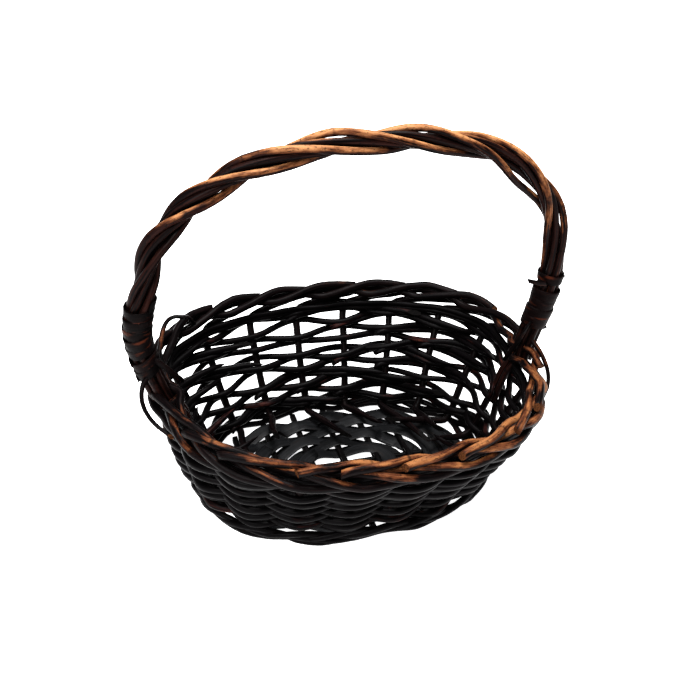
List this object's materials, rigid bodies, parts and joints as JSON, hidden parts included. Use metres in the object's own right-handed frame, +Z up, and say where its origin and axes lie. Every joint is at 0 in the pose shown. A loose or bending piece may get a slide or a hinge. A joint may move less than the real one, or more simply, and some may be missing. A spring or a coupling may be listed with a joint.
{
  "type": "woven wicker basket",
  "caption": "Oval woven willow basket with flared open walls, rod border, flat strip base and a fixed roped bow handle bound at both feet.",
  "frame": {"origin": "on the table under the middle of the bowl", "axes": "+X along the rim's length and through both handle feet, +Y across the rim's width, +Z up"},
  "size_m": [0.3372, 0.2546, 0.2956],
  "materials": {
    "base_stick": "dark stained round willow, semi-matt",
    "base_strip": "flat split strip, stained grey-black, matt",
    "stake_willow": "stained willow rod, orange-brown where worn, satin",
    "weaver_willow": "thin stained willow rod, near black with red-brown lights, satin",
    "handle_willow": "stained willow rod, orange-tan on top and dark below, satin",
    "binding_skein": "flat willow skein, dark brown, satin"
  },
  "bodies": {
    "root": {"base_long_stick_1": "base_stick", "base_long_stick_2": "base_stick", "base_long_stick_3": "base_stick", "base_short_stick_1": "base_stick", "base_short_stick_2": "base_stick", "base_short_stick_3": "base_stick", "base_short_stick_4": "base_stick", "base_short_stick_5": "base_stick", "base_short_stick_6": "base_stick", "base_short_stick_7": "base_stick", "base_strip_round_1": "base_strip", "base_strip_round_2": "base_strip", "base_strip_round_3": "base_strip", "base_strip_round_4": "base_strip", "base_strip_round_5": "base_strip", "base_strip_round_6": "base_strip", "stake_1": "stake_willow", "stake_2": "stake_willow", "stake_3": "stake_willow", "stake_4": "stake_willow", "stake_5": "stake_willow", "stake_6": "stake_willow", "stake_7": "stake_willow", "stake_8": "stake_willow", "stake_9": "stake_willow", "stake_10": "stake_willow", "stake_11": "stake_willow", "stake_12": "stake_willow", "stake_13": "stake_willow", "stake_14": "stake_willow", "stake_15": "stake_willow", "stake_16": "stake_willow", "stake_17": "stake_willow", "stake_18": "stake_willow", "stake_19": "stake_willow", "stake_20": "stake_willow", "wall_row_1": "weaver_willow", "wall_row_2": "weaver_willow", "wall_row_3": "weaver_willow", "wall_row_4": "weaver_willow", "wall_row_5": "weaver_willow", "wall_row_6": "weaver_willow", "wall_row_7": "weaver_willow", "wall_row_8": "weaver_willow", "wall_row_9": "weaver_willow", "wall_row_10": "weaver_willow", "wall_row_11": "weaver_willow", "wall_row_12": "weaver_willow", "wall_row_13": "weaver_willow", "handle_core_rod": "handle_willow", "handle_rope_rod_1": "handle_willow", "handle_rope_rod_2": "handle_willow", "handle_rope_rod_3": "handle_willow", "handle_rope_rod_4": "handle_willow", "handle_rope_rod_5": "handle_willow", "handle_rope_rod_6": "handle_willow", "handle_binding_left": "binding_skein", "handle_binding_right": "binding_skein"}
  },
  "joints": []
}
